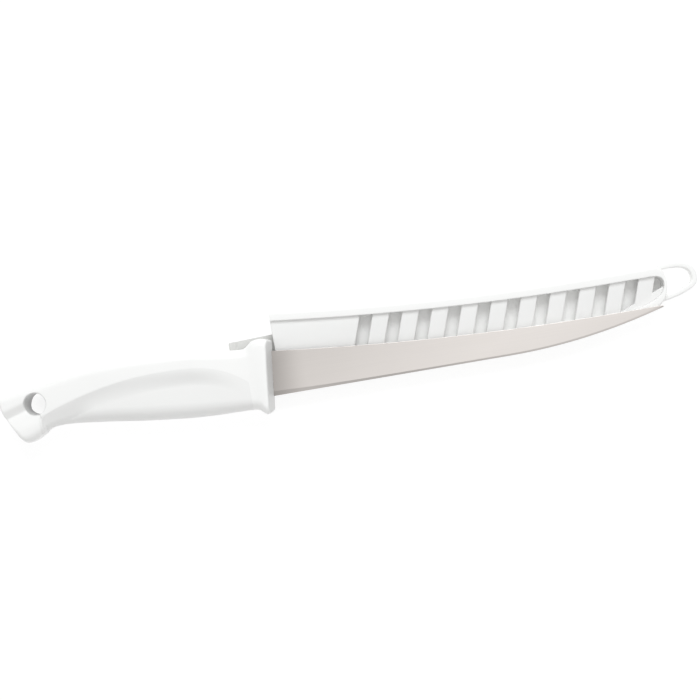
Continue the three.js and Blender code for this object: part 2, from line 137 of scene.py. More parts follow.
def moulded_plastic(name, slot, tone, gloss, grain_size, grain_depth, painted_glow=0.0):
    """White plastic as it leaves the mould: cloudy tint, flow lines, fine grain and a few scuffs.
    Where a mesh carries its painted-shade attribute, painted shade greys it. A painted glow gives a faint
    emission in the plastic's own tint."""
    material = bpy.data.materials.new(name)
    paint = empty_nodes(material)
    clean = [tone * c ** 2.2 for c in slot_colour(slot)]
    cloudy = [0.955 * c for c in clean]
    # Painted shade greys the plastic towards this colour
    shaded = [0.2 * c for c in clean]
    place = paint.node("ShaderNodeTexCoord", {}, {}, "Object")
    cloud = paint.noise(place, 45.0, 3.0)
    drawn_out = paint.node("ShaderNodeMapping", {}, {"Vector": place, "Scale": (22.0, 190.0, 190.0)})
    flow = paint.noise(drawn_out, 1.0, 2.0)
    grain = paint.noise(place, 1 / grain_size, 2.0)
    slanted = paint.node("ShaderNodeMapping", {}, {
        "Vector": place, "Rotation": (0.3, 0.2, 0.7), "Scale": (60.0, 2600.0, 2600.0),
    })
    hairs = paint.noise(slanted, 1.0, 1.0)
    scuffs = paint.node("ShaderNodeValToRGB", {"stops": ((0.68, 0), (0.78, 1))}, {"Fac": hairs})
    soil = paint.node("ShaderNodeAttribute", {"attribute_name": "soil"}, {}, "Fac")
    tint = paint.mix(cloud * 0.6 + flow * 0.4, cloudy + [1], clean + [1])
    tint = paint.mix(soil * (0.8 + cloud * 0.2), tint, shaded + [1])
    bump = paint.node("ShaderNodeBump", {}, {
        "Strength": 0.35, "Distance": grain_depth, "Height": grain + flow * 0.5 - scuffs * 0.4,
    })
    # The emission is a painted glow in the plastic's own tint
    shader = paint.node("ShaderNodeBsdfPrincipled", {}, {
        "Base Color": tint, "Roughness": gloss + (cloud - 0.5) * 0.14 + scuffs * 0.12,
        "Normal": bump, "IOR": 1.49, "Emission Color": tint, "Emission Strength": painted_glow,
    })
    paint.node("ShaderNodeOutputMaterial", {}, {"Surface": shader})
    return material


def soften(mesh, crisp):
    """Smooth shading, but for the edges past an angle in degrees."""
    mesh.shade_smooth()
    mesh.set_sharp_from_angle(angle=math.radians(crisp))


def mesh_piece(name, points, faces, at, material, crisp=CRISP_ANGLE, soil=None):
    """A mesh object from points in millimetres, with its faces outwards and its edges crisp past an angle.
    The painted-shade values say how far painted shade darkens each point."""
    mesh = bpy.data.meshes.new(name)
    mesh.from_pydata(((np.asarray(points) + at) * MM).tolist(), [], faces)
    mesh.materials.append(material)
    if soil is not None:
        mesh.attributes.new("soil", "FLOAT", "POINT").data.foreach_set("value", soil)
    form = bmesh.new()
    form.from_mesh(mesh)
    bmesh.ops.remove_doubles(form, verts=form.verts, dist=0.0001 * MM)
    bmesh.ops.recalc_face_normals(form, faces=form.faces)
    if form.calc_volume(signed=True) < 0:
        bmesh.ops.reverse_faces(form, faces=form.faces)
    form.to_mesh(mesh)
    form.free()
    soften(mesh, crisp)
    obj = bpy.data.objects.new(name, mesh)
    bpy.context.scene.collection.objects.link(obj)
    return obj


def joined(name, parts):
    """One object from several that are moulded together."""
    form = bmesh.new()
    finishes = []
    for part in parts:
        held = list(part.data.materials)
        finishes += [finish for finish in held if finish not in finishes]
        start = len(form.faces)
        form.from_mesh(part.data)
        form.faces.ensure_lookup_table()
        for face in form.faces[start:]:
            face.material_index = finishes.index(held[face.material_index])
    mesh = parts[0].data
    form.to_mesh(mesh)
    form.free()
    for finish in finishes[len(mesh.materials):]:
        mesh.materials.append(finish)
    for part in parts[1:]:
        bpy.data.objects.remove(part)
    parts[0].name = name
    mesh.name = name
    return parts[0]


def grown(name, tree, sizes, base=None):
    """A plain mesh object from a Geometry Nodes tree, with its sizes set and its modifier removed."""
    obj = bpy.data.objects.new(name, base or bpy.data.meshes.new(name))
    bpy.context.scene.collection.objects.link(obj)
    nodes = obj.modifiers.new("grow", "NODES")
    nodes.node_group = tree
    for item in tree.interface.items_tree:
        if item.in_out == "INPUT" and item.name in sizes:
            nodes[item.identifier] = sizes[item.name]
    evaluated = obj.evaluated_get(bpy.context.evaluated_depsgraph_get())
    mesh = bpy.data.meshes.new_from_object(evaluated)
    obj.modifiers.remove(nodes)
    obj.data = mesh
    return obj


def node_tree(name, sizes, with_geometry):
    """An empty Geometry Nodes tree with named sizes: its first wire, and a wire for each input."""
    tree = bpy.data.node_groups.new(name, "GeometryNodeTree")
    if with_geometry:
        tree.interface.new_socket("Geometry", in_out="INPUT", socket_type="NodeSocketGeometry")
    for size, kind in sizes.items():
        tree.interface.new_socket(size, in_out="INPUT", socket_type=kind)
    tree.interface.new_socket("Geometry", in_out="OUTPUT", socket_type="NodeSocketGeometry")
    start = tree.nodes.new("NodeGroupInput")
    given = {socket.name: Wire(tree, socket) for socket in start.outputs if socket.name}
    return Wire(tree), given


def bar_section(wire, width, height, edge):
    """The rounded section of a moulded bar, as a closed curve."""
    section = wire.node("GeometryNodeCurvePrimitiveQuadrilateral", {}, {"Width": width, "Height": height})
    return wire.node("GeometryNodeFilletCurve", {"mode": "POLY"}, {
        "Curve": section, "Count": 4, "Radius": edge, "Limit Radius": True,
    })


def swept_bar(wire, path, section):
    """A closed bar along a path, with its section upright."""
    path = wire.node("GeometryNodeSetCurveNormal", {"mode": "Z_UP"}, {"Curve": path})
    return wire.node("GeometryNodeCurveToMesh", {}, {
        "Curve": path, "Profile Curve": section, "Fill Caps": True,
    })


def finish_tree(wire, geometry, material):
    """Ends a tree: instances made real, a material set, and the result given out."""
    real = wire.node("GeometryNodeRealizeInstances", {}, {"Geometry": geometry})
    painted = wire.node("GeometryNodeSetMaterial", {}, {"Geometry": real, "Material": material})
    wire.node("NodeGroupOutput", {}, {"Geometry": painted})


def bezier(corners, count):
    """Points of a Bezier curve of any degree."""
    share = np.linspace(0, 1, count)[:, None]
    points = [np.array(corner, float) for corner in corners]
    while len(points) > 1:
        points = [a + (b - a) * share for a, b in zip(points, points[1:])]
    return points[0]


def sheath_top(x, margin):
    """The cavity's upper side, which follows the spine of a sheathed blade, and a margin above it."""
    left = np.clip(1 - (np.asarray(x) - HEEL_FROM_MOUTH) / SPINE_RUN, 0, 1)
    return CAVITY_TIP_TOP + SPINE_RISE * left ** 2 + margin


def sheath_line(margin, tip_margin):
    """The sheath's outline, from the lower corner of the mouth round the tip to the upper corner."""
    end = CAVITY_END + tip_margin
    low = CAVITY_FOOT - margin
    top = float(sheath_top(end, margin))
    sweep = [(SWEEP_FROM, low), (end - SWEEP_PULL, low), (end, low + SWEEP_LIFT), (end, TIP_MIDDLE)]
    along = np.linspace(end - TIP_CORNER, 0, 90)
    return np.concatenate([
        bezier([(0, low), (SWEEP_FROM, low)], 42)[:-1],
        bezier(sweep, 40)[:-1],
        bezier([(end, TIP_MIDDLE), (end, top), (end - TIP_CORNER, top)], 16)[:-1],
        np.stack([along, sheath_top(along, margin)], axis=1),
    ])


def arc(centre, radius, start, end):
    """Points of a round edge in a section, from one angle in degrees to another."""
    angles = np.radians(np.linspace(start, end, ARC_STEPS + 1))
    return [(centre[0] + radius * math.cos(a), centre[1] + radius * math.sin(a)) for a in angles]


def rim_points(section):
    """Points of a section carried round the rim. The section gives (way in, height) for a rim width."""
    outer = sheath_line(RIM_WIDTH, TIP_WALL)
    inward = sheath_line(0, 0) - outer
    points = []
    for place, way in zip(outer, inward):
        width = float(np.hypot(*way))
        points += [(*(place + way * inside / width), height) for inside, height in section(width)]
    return points, len(outer)


def strips(rows, columns, closed):
    """Quads between rows of points; closed joins each row's last column to its first."""
    last = columns if closed else columns - 1
    quads = []
    for row in range(rows - 1):
        for column in range(last):
            beside = (column + 1) % columns
            quads.append((row * columns + column, row * columns + beside,
                          (row + 1) * columns + beside, (row + 1) * columns + column))
    return quads


def back_section(width):
    """The back half of the rim, from the underside round the outside to the seam and down to the plate."""
    round_edge = min(RIM_ROUND, 0.6 * width)
    top = SEAM - SEAM_HALF_GAP
    return [
        (width, 0.0), *arc((round_edge, round_edge), round_edge, 270, 180),
        (0, top - SEAM_CHAMFER), (SEAM_CHAMFER, top), (width, top), (width, PLATE),
    ]


points, rows = rim_points(back_section)
columns = len(points) // rows
faces = strips(rows, columns, False)
underside = [row * columns for row in range(rows)]
inside = [row * columns + columns - 1 for row in range(rows)]
notch = []
for height in (0.0, PLATE):
    notch.append([len(points) + i for i in range(4)])
    points += [(0, NOTCH_HIGH, height), (NOTCH_DEPTH, NOTCH_HIGH, height),
               (NOTCH_DEPTH, NOTCH_LOW, height), (0, NOTCH_LOW, height)]
faces += [underside + notch[0], inside + notch[1]]
faces += [(notch[0][i], notch[0][i + 1], notch[1][i + 1], notch[1][i]) for i in range(3)]
faces.append([*range(columns), notch[1][3], notch[0][3]])
faces.append([*range((rows - 1) * columns, rows * columns), notch[1][0], notch[0][0]])
# The sheath plastic gets a faint painted glow
sheath_white = moulded_plastic(
    "satin_sheath_plastic", "sheath_plastic", tone=1.04, gloss=0.36,
    grain_size=0.0006, grain_depth=0.00004, painted_glow=0.03,
)
shell = mesh_piece("back_shell", points, faces, MOUTH, sheath_white)

# The ring is a strand of rounded section that follows a rounded path out of the tip and back
ring, given = node_tree("hanging_ring", {
    "Strand Width": "NodeSocketFloat", "Strand Height": "NodeSocketFloat",
    "Edge Round": "NodeSocketFloat", "Plastic": "NodeSocketMaterial",
}, True)
path = ring.node("GeometryNodeMeshToCurve", {}, {"Mesh": given["Geometry"]})
section = bar_section(ring, given["Strand Width"], given["Strand Height"], given["Edge Round"])
finish_tree(ring, swept_bar(ring, path, section), given["Plastic"])
end = RING_END - RING_STRAND / 2
top = RING_TOP - RING_STRAND / 2
foot = RING_FOOT + RING_STRAND / 2
root = CAVITY_END - 2 * RIM_WIDTH
route = np.concatenate([
    bezier([(root, foot), (end - RING_FOOT_PULL, foot + RING_FOOT_LIFT),
            (end, foot + RING_FOOT_CORNER), (end, TIP_MIDDLE)], 40)[:-1],
    bezier([(end, TIP_MIDDLE), (end, top + RING_TOP_CORNER),
            (end - RING_TOP_PULL, top + RING_TOP_LIFT), (root, top)], 40),
])
height = (SEAM - SEAM_HALF_GAP) / 2
line = bpy.data.meshes.new("ring_path")
line.from_pydata([((x + MOUTH[0]) * MM, y * MM, height * MM) for x, y in route],
                 [(i, i + 1) for i in range(len(route) - 1)], [])
hanging_ring = grown("hanging_ring", ring.tree, {
    "Strand Width": RING_STRAND * MM, "Strand Height": 2 * height * MM, "Edge Round": RING_EDGE * MM,
    "Plastic": sheath_white,
}, line)
sheath_back = joined("sheath_back_shell", [shell, hanging_ring])
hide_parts("sheath_back")
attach(sheath_back, "sheath")

# Retention tongue: a springy strip of the same plastic, let into the notch of the back shell.
# It tapers to a raised nib at its free end, which snaps on to the handle's collar.
TONGUE_IN, TONGUE_OUT = 18.0, -22.5
TONGUE_MIDDLE = -0.35
TONGUE_BOTTOM, TONGUE_TOP = 0.3, 1.3
TONGUE_END_HALF, TONGUE_FLARE = 5.55, 1.2
TONGUE_EDGE = 0.35
NIB_HEIGHT, NIB_LENGTH, NIB_RAMP = 0.8, 3.0, 1.6
TONGUE_END_ROUND, TONGUE_END_REACH = 0.55, 0.8
UNDERSIDE_SHARE = 0.6
FINE_FROM = -12.0


def ease(value):
    """A smooth step from 0 to 1."""
    t = np.clip(value, 0, 1)
    return t * t * (3 - 2 * t)


stations = np.concatenate([
    np.linspace(TONGUE_IN, FINE_FROM, 40), np.linspace(FINE_FROM, TONGUE_OUT, 40)[1:],
])
points = []
for x in stations:
    past = np.clip((TONGUE_OUT + TONGUE_END_REACH - x) / TONGUE_END_REACH, 0, 1)
    end_round = TONGUE_END_ROUND * (1 - math.sqrt(1 - past ** 2))
    half = TONGUE_END_HALF + TONGUE_FLARE * (x - TONGUE_OUT) / (TONGUE_IN - TONGUE_OUT) - end_round
    nib = NIB_HEIGHT * ease((TONGUE_OUT + NIB_LENGTH + NIB_RAMP - x) / NIB_RAMP)
    right = half - TONGUE_EDGE
    top = TONGUE_TOP + nib - end_round - TONGUE_EDGE
    low = TONGUE_BOTTOM + end_round * UNDERSIDE_SHARE + TONGUE_EDGE
    for y, z, turn in [(right, top, 0), (-right, top, 90), (-right, low, 180), (right, low, 270)]:
        points += [(x, TONGUE_MIDDLE + b, h) for b, h in arc((y, z), TONGUE_EDGE, turn, turn + 90)]
columns = len(points) // len(stations)
faces = strips(len(stations), columns, True)
faces += [[*range(columns)], [*range((len(stations) - 1) * columns, len(points))]]
tongue_white = moulded_plastic(
    "satin_tongue_plastic", "tongue_plastic", tone=1.0, gloss=0.45,
    grain_size=0.0006, grain_depth=0.00004,
)
tongue = mesh_piece("tongue_strip", points, faces, MOUTH, tongue_white)
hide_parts("retention_tongue")
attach(tongue, "tongue")

# Sheath front: the upper shell of satin white plastic, pinned to the back shell along the rim's seam.
# Its rim stands proud of a recessed face, which is a plain panel at the mouth and then slanted slats
# with vents between them.
RIM_TOP, RIM_INNER_ROUND = 9.0, 0.5
FACE_TOP, FACE_BOTTOM, FACE_EDGE = 7.4, 6.0, 0.55
LET_IN = 2.2
SLOT_FIRST, SLOT_PITCH, SLOT_WIDTH = 44.0, 14.62, 6.4
SLOT_LEAN = math.radians(19)
SLAT_COUNT = 10
SLAT_FOOT_DEPTH, SLAT_FOOT_BEND = 12.0, 7.1
FEET_RISE_AT = 168.0
FEET_SLOPE = math.tan(math.radians(21))
FEET_LET_IN, FEET_STEP = 0.8, 0.02


def front_section(width):
    """The front half of the rim, from the seam up the outside and over the top to the cavity's side."""
    outer_round = min(RIM_ROUND, 0.5 * width)
    inner_round = min(RIM_INNER_ROUND, 0.25 * width)
    low = SEAM + SEAM_HALF_GAP
    return [
        (width, low), (SEAM_CHAMFER, low), (0, low + SEAM_CHAMFER),
        *arc((outer_round, RIM_TOP - outer_round), outer_round, 180, 90),
        *arc((width - inner_round, RIM_TOP - inner_round), inner_round, 90, 0),
    ]


def plate(name, loops, bottom, top, edge, at, material):
    """A flat plate with rounded edges: the first loop is its outline and the others are holes in it."""
    curve = bpy.data.curves.new(name, "CURVE")
    curve.dimensions = "2D"
    curve.fill_mode = "BOTH"
    curve.extrude = (top - bottom) / 2 - edge
    curve.bevel_depth = edge
    curve.bevel_resolution = 3
    curve.offset = -edge
    for loop in loops:
        spline = curve.splines.new("POLY")
        spline.points.add(len(loop) - 1)
        spline.use_cyclic_u = True
        for point, (x, y) in zip(spline.points, loop):
            point.co = (x, y, 0, 1)
    drawn = bpy.data.objects.new(name, curve)
    bpy.context.scene.collection.objects.link(drawn)
    evaluated = drawn.evaluated_get(bpy.context.evaluated_depsgraph_get())
    flat = bpy.data.meshes.new_from_object(evaluated)
    bpy.data.objects.remove(drawn)
    points = [(v.co.x, v.co.y, v.co.z + (top + bottom) / 2) for v in flat.vertices]
    faces = [tuple(face.vertices) for face in flat.polygons]
    return mesh_piece(name, points, faces, at, material)


face_white = moulded_plastic(
    "grained_sheath_face", "sheath_plastic", tone=0.97, gloss=0.5,
    grain_size=0.0003, grain_depth=0.00006,
)
points, rows = rim_points(front_section)
columns = len(points) // rows
faces = strips(rows, columns, True)
faces += [[*range(columns)], [*range((rows - 1) * columns, rows * columns)]]
rim = mesh_piece("front_rim", points, faces, MOUTH, sheath_white)

panel_foot = CAVITY_FOOT - LET_IN
panel_lean = math.tan(SLOT_LEAN)
slot_top = float(sheath_top(SLOT_FIRST, 0))
panel_line = [(0, panel_foot), (SLOT_FIRST + (panel_foot - slot_top) * panel_lean, panel_foot)]
upper = np.linspace(SLOT_FIRST + LET_IN * panel_lean, 0, 12)
panel_line += [(x, float(sheath_top(x, LET_IN))) for x in upper]
panel = plate("mouth_panel", [panel_line], FACE_BOTTOM, FACE_TOP, FACE_EDGE, MOUTH, face_white)

# Near the tip the face closes the feet of the slots along a slope
tip_line = sheath_line(FEET_LET_IN, FEET_LET_IN)
feet = tip_line[tip_line[:, 1] < CAVITY_FOOT + (tip_line[:, 0] - FEET_RISE_AT) * FEET_SLOPE]
slot_feet = plate("slot_feet", [feet], FACE_BOTTOM, FACE_TOP - FEET_STEP, FACE_EDGE, MOUTH, face_white)

# Each slat fills the room between two slots and reaches under the rim at both ends
slats, given = node_tree("vent_slats", {
    "Count": "NodeSocketInt", "First Slot": "NodeSocketFloat", "Pitch": "NodeSocketFloat",
    "Slot Width": "NodeSocketFloat", "Lean": "NodeSocketFloat", "Let In": "NodeSocketFloat",
    "Bottom": "NodeSocketFloat", "Thickness": "NodeSocketFloat", "Edge Round": "NodeSocketFloat",
    "Plastic": "NodeSocketMaterial",
}, False)


def upper_line(x):
    """The cavity's upper side, as sheath_top gives it, in the tree's own units."""
    left = slats.math("MAXIMUM", 1 - (x - HEEL_FROM_MOUTH * MM) / (SPINE_RUN * MM), 0)
    return left * left * (SPINE_RISE * MM) + CAVITY_TIP_TOP * MM


index = slats.node("GeometryNodeInputIndex", {}, {})
near = given["First Slot"] + given["Pitch"] * index
slope = slats.node("ShaderNodeMath", {"operation": "TANGENT"}, {0: given["Lean"]})
squeeze = slats.node("ShaderNodeMath", {"operation": "COSINE"}, {0: given["Lean"]})
here = upper_line(near)
beyond = upper_line(near + given["Pitch"])
bare = given["Pitch"] - given["Slot Width"]
room = bare + (here - beyond) * slope
axis = near + given["Pitch"] * 0.5 + given["Slot Width"] * 0.5 - (here + beyond) * 0.5 * slope
risen = slats.math("MAXIMUM", axis - slope * (SLAT_FOOT_DEPTH * MM) - SWEEP_FROM * MM, 0)
low = risen * risen * SLAT_FOOT_BEND + CAVITY_FOOT * MM - given["Let In"]
high = (here + beyond) * 0.5 + given["Let In"]
middle = (high + low) * 0.5
spot = slats.node("ShaderNodeCombineXYZ", {}, {
    "X": axis + middle * slope + MOUTH[0] * MM, "Y": middle,
    "Z": given["Bottom"] + given["Thickness"] * 0.5,
})
dots = slats.node("GeometryNodePoints", {}, {"Count": given["Count"], "Position": spot})
span = slats.node("GeometryNodeCurvePrimitiveLine", {}, {"Start": (0, -0.5, 0), "End": (0, 0.5, 0)})
section = bar_section(slats, bare * squeeze, given["Thickness"], given["Edge Round"])
turn = slats.node("ShaderNodeCombineXYZ", {}, {"Z": 0 - given["Lean"]})
stretch = slats.node("ShaderNodeCombineXYZ", {}, {"X": room / bare, "Y": (high - low) / squeeze, "Z": 1.0})
row = slats.node("GeometryNodeInstanceOnPoints", {}, {
    "Points": dots, "Instance": swept_bar(slats, span, section), "Rotation": turn, "Scale": stretch,
})
finish_tree(slats, row, given["Plastic"])
vent_slats = grown("vent_slats", slats.tree, {
    "Count": SLAT_COUNT, "First Slot": SLOT_FIRST * MM, "Pitch": SLOT_PITCH * MM,
    "Slot Width": SLOT_WIDTH * MM, "Lean": SLOT_LEAN, "Let In": LET_IN * MM, "Bottom": FACE_BOTTOM * MM,
    "Thickness": (FACE_TOP - FACE_BOTTOM) * MM, "Edge Round": FACE_EDGE * MM, "Plastic": face_white,
})
sheath_front = joined("sheath_front_shell", [rim, panel, slot_feet, vent_slats])
soften(sheath_front.data, CRISP_ANGLE)
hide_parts("sheath_front")
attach(sheath_front, "sheath")

# Blade: satin stainless steel, ground thinner towards its tip and its edge, with a narrow honed bevel.
# Its tang, a plate with three locking holes, runs back into the handle and is moulded in.
HEEL = (MOUTH[0] + HEEL_FROM_MOUTH, -13.0, 10.3)
BLADE_LENGTH = 190.0
HEEL_IN_COLLAR, HEEL_COVERED = 8.0, 2.0
SPINE_AT_TIP = 0.5
EDGE_LINE, EDGE_SWEEP, EDGE_SWEEP_FROM = -11.2, 10.9, 112.0
SPINE_THICKNESS, TIP_THICKNESS = 2.0, 0.9
BEVEL_AT_HEEL, BEVEL_ALONG, BEVEL_FADE = 2.2, 0.9, 25.0
BEVEL_SHARE, GRIND_POWER = 0.72, 1.5
EDGE_HALF = 0.06
SPINE_CHAMFER, CHAMFER_ROUND = 0.06, 0.3
BLADE_CRISP_ANGLE = 7
# Painted shade darkens the steel beside the collar, and a painted reflection lightens it towards the tip
# and the edge
HEEL_SHADE_FROM, HEEL_SHADE_TO, REFLECTION_TO = -6.0, 14.0, 140.0
TANG_FRONT, TANG_END, TANG_LOW, TANG_HIGH = -4.0, -95.0, -3.0, 8.0
TANG_HOLES = (-24, -52, -80)
TANG_HOLE_RADIUS = 3.25
TANG_EDGE = 0.12


def satin_steel(name, tone, roughness, line_scale):
    """Steel with fine grinding lines: line_scale is how closely they lie along X, Y and Z. Painted shade
    darkens the heel beside the collar, and a painted reflection lightens it towards the tip and the edge."""
    material = bpy.data.materials.new(name)
    paint = empty_nodes(material)
    colour = slot_colour("blade_steel")
    place = paint.node("ShaderNodeTexCoord", {}, {}, "Object")
    cloud = paint.noise(place, 38.0, 4.0)
    ground = paint.node("ShaderNodeMapping", {}, {"Vector": place, "Scale": line_scale})
    lines = paint.noise(ground, 1.0, 4.0)
    along = paint.node("ShaderNodeSeparateXYZ", {}, {"Vector": place})
    down = paint.node("ShaderNodeSeparateXYZ", {}, {"Vector": place}, 1)
    shade_end = (HEEL[0] + HEEL_SHADE_TO) * MM
    # Painted shade at the heel, beside the collar
    reached = paint.node("ShaderNodeMapRange", {"interpolation_type": "SMOOTHSTEP"}, {
        "Value": along, "From Min": (HEEL[0] + HEEL_SHADE_FROM) * MM, "From Max": shade_end,
        "To Min": 0.0, "To Max": 0.5,
    })
    # Painted reflection: lighter towards the tip and the edge
    painted_reflection = paint.node("ShaderNodeMapRange", {}, {
        "Value": along - down * 2, "From Min": shade_end, "From Max": (HEEL[0] + REFLECTION_TO) * MM,
        "To Min": 0.0, "To Max": 0.35,
    })
    dark = [0.46 * tone * c ** 1.2 for c in colour] + [1]
    light = [tone * c for c in colour] + [1]
    tint = paint.mix(reached + painted_reflection + cloud * 0.08 + lines * 0.16, dark, light)
    bump = paint.node("ShaderNodeBump", {}, {"Strength": 0.2, "Distance": 0.00002, "Height": lines})
    shader = paint.node("ShaderNodeBsdfPrincipled", {}, {
        "Base Color": tint, "Metallic": 1.0, "Normal": bump,
        "Roughness": roughness + (lines - 0.5) * 0.22 + (cloud - 0.5) * 0.1,
    })
    paint.node("ShaderNodeOutputMaterial", {}, {"Surface": shader})
    return material


ground_steel = satin_steel(
    "satin_ground_steel", tone=1.01, roughness=0.36, line_scale=(14.0, 5200.0, 5200.0),
)
stations = np.concatenate([
    [-HEEL_IN_COLLAR], np.linspace(-HEEL_COVERED, EDGE_SWEEP_FROM, 90),
    np.linspace(EDGE_SWEEP_FROM, BLADE_LENGTH, 110)[1:],
])
points = []
for x in stations:
    from_heel = max(x, 0)
    spine = SPINE_AT_TIP + SPINE_RISE * np.clip(1 - x / SPINE_RUN, 0, 1) ** 2
    swept = max(x - EDGE_SWEEP_FROM, 0) / (BLADE_LENGTH - EDGE_SWEEP_FROM)
    edge = EDGE_SWEEP * swept ** 2 + EDGE_LINE
    half = (SPINE_THICKNESS + (TIP_THICKNESS - SPINE_THICKNESS) * from_heel / BLADE_LENGTH) / 2
    bevel = BEVEL_ALONG + (BEVEL_AT_HEEL - BEVEL_ALONG) * math.exp(-from_heel / BEVEL_FADE)
    shoulder = edge + min(bevel, (spine - edge) / 2)
    chamfer = min(SPINE_CHAMFER, half / 3)
    corner = chamfer * CHAMFER_ROUND
    side = [(spine, half - chamfer), (spine - corner, half - corner)]
    for share in np.linspace(0, 1, 9):
        side.append((spine - chamfer + (shoulder - spine + chamfer) * share,
                     half * (1 + (BEVEL_SHARE - 1) * share ** GRIND_POWER)))
    side.append((edge, EDGE_HALF))
    points += [(x, y, z) for y, z in side] + [(x, y, -z) for y, z in reversed(side)]
columns = len(points) // len(stations)
faces = strips(len(stations), columns, True)
faces += [[*range(columns)], [*range((len(stations) - 1) * columns, len(points))]]
steel_body = mesh_piece("blade_body", points, faces, HEEL, ground_steel, BLADE_CRISP_ANGLE)

tang_line = [(TANG_FRONT, TANG_LOW), (TANG_FRONT, TANG_HIGH), (TANG_END, TANG_HIGH), (TANG_END, TANG_LOW)]
tang_middle = (TANG_LOW + TANG_HIGH) / 2
tang_half = SPINE_THICKNESS / 2
turns = np.linspace(0, 2 * math.pi, 33)[:-1]
circle = [(TANG_HOLE_RADIUS * math.cos(a), TANG_HOLE_RADIUS * math.sin(a)) for a in turns]
holes = [[(x + ahead, tang_middle + up) for ahead, up in circle] for x in TANG_HOLES]
tang = plate("tang", [tang_line, *holes], -tang_half, tang_half, TANG_EDGE, HEEL, ground_steel)
blade = joined("fillet_blade", [steel_body, tang])
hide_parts("blade")
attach(blade, "knife")

# Handle core: hard white plastic moulded round the tang. It is the spine band, the collar with its finger
# guard, the pommel with its lanyard hole and grooves, and the web round the tang that the grip sits on.
CELL = 0.45
COLLAR_FRONT, COLLAR_CREST, NECK = -1.2, -5.6, -15.2
HUMP_FRONT, HUMP_REAR, HUMP_FOOT = -6.0, -10.6, -16.2
GUARD_KNEE, GUARD_HEEL = -8.2, -11.2
SHOULDER, BACK, REAR, WAIST = -41.4, -68.55, -92.8, -112.2
GRIP_END, BEAK, BUTT = -118.0, -123.5, -136.0
COLLAR_TOP = 17.5
COLLAR_LEAN = math.tan(math.radians(6.5))
COLLAR_RAKE = math.tan(math.radians(18))
COLLAR_ROUND = 0.8
FACE_CROWN = 0.06
CREASE_LOW, CREASE_RISE, CREASE_PEAK = -2.5, 11.9, 0.42
CREASE_FRONT_BEND, CREASE_REAR_BEND = 3.2, 1.9
SCOOP_DEPTH, SCOOP_WIDTH = 2.3, 8.5
SCOOP_START, SCOOP_FADE = NECK + 1, 30.0
CRISP_START, CRISP_FADE = NECK - 20, 60.0
TAIL_START, TAIL_FADE = -90.0, 12.0
FLANK_SLOPE, FLANK_DEPTH = 0.5, 3.8
END_LEDGE, END_WALL, END_CORNER, END_CORNER_TOP = 0.7, 1.7, 4.0, -1.0
HOLE_PLACE = (-118.8, 4.5)
HOLE_RADIUS, HOLE_EDGE = 5.35, 0.7
GROOVE_FLOOR, GROOVE_EDGE = 5.9, 0.5
GROOVE_UPPER, GROOVE_LOWER, GROOVE_ROUND = 0.62, 0.34, 0.2
GROOVE_BELOW_HOLE = 0.7
GROOVE_ANGLE = math.radians(17)
BUTT_CORNER, BUTT_FALL, BUTT_CUT = 3.5, 16.5, 8.6
BUTT_ROUND, BUTT_CUT_ROUND = 1.5, 2.2
WEB_LOW, WEB_HIGH, WEB_HALF, WEB_REACH = -4.6, 12.4, 3.0, 3.0
TANG_ROOM = ((-95.1, -3.1, -1.05), (-7.0, 8.1, 1.05))
HEEL_ROOM = ((-8.1, -11.0, -0.85), (10.0, 10.3, 0.85))
# Painted shade deep in the lanyard hole and on the collar's front face, where shade falls
HOLE_SHADE_EDGE = 0.2
HOLE_SHADE_UPPER, HOLE_SHADE_LOWER = (0.45, 7.4, 2.5), (0.55, 5.0, 13.0)
FRONT_SHADE, FRONT_SHADE_REACH, FRONT_SHADE_FADE = 0.3, 0.45, 0.4
CORE_GRID = ((-138.1, -21.3, -11.7), (0.6, 20.9, 11.9))


def fair_line(places, heights):
    """A smooth height along the handle, through a few places from butt to collar."""
    places = np.array(places)
    heights = np.array(heights)
    order = np.arange(len(places))
    before = np.maximum(order - 1, 0)
    after = np.minimum(order + 1, len(places) - 1)
    slopes = (heights[after] - heights[before]) / (places[after] - places[before])

    def height(x):
        i = np.clip(np.searchsorted(places, x, side="right") - 1, 0, len(places) - 2)
        run = places[i + 1] - places[i]
        t = np.clip((x - places[i]) / run, 0, 1)
        bend = t * (1 - t) * ((1 - t) * slopes[i] - t * slopes[i + 1])
        return heights[i] + (heights[i + 1] - heights[i]) * t * t * (3 - 2 * t) + run * bend

    return height


handle_top = fair_line(
    (BUTT, WAIST, REAR, BACK, SHOULDER, HUMP_FOOT, HUMP_REAR, HUMP_FRONT, COLLAR_FRONT),
    (10.6, 14.8, 18.0, 19.1, 17.6, 13.8, 17.0, 17.3, 15.7),
)
handle_foot = fair_line(
    (BUTT, BEAK, WAIST, REAR, BACK, SHOULDER, NECK, GUARD_HEEL, GUARD_KNEE, COLLAR_CREST, COLLAR_FRONT),
    (-13.3, -13.3, -8.0, -9.2, -12.6, -15.5, -16.2, -16.9, -18.7, -19.35, -17.9),
)
handle_half = fair_line(
    (BUTT, WAIST, BACK, SHOULDER, NECK, COLLAR_CREST, COLLAR_FRONT),
    (8.2, 8.4, 9.5, 9.35, 7.6, 8.4, 7.5),
)
spine_round = fair_line(
    (BUTT, WAIST, BACK, SHOULDER, NECK, COLLAR_FRONT),
    (3.2, 4.2, 5.2, 5.0, 4.2, 3.4),
)
belly_round = fair_line(
    (BUTT, BEAK, WAIST, REAR, BACK, SHOULDER, NECK, COLLAR_FRONT),
    (4.0, 4.6, 3.0, 6.6, 7.6, 7.6, 5.8, 3.6),
)


def slope_of(line, x):
    """How steep a line along the handle is, over one millimetre."""
    return line(x + 0.5) - line(x - 0.5)


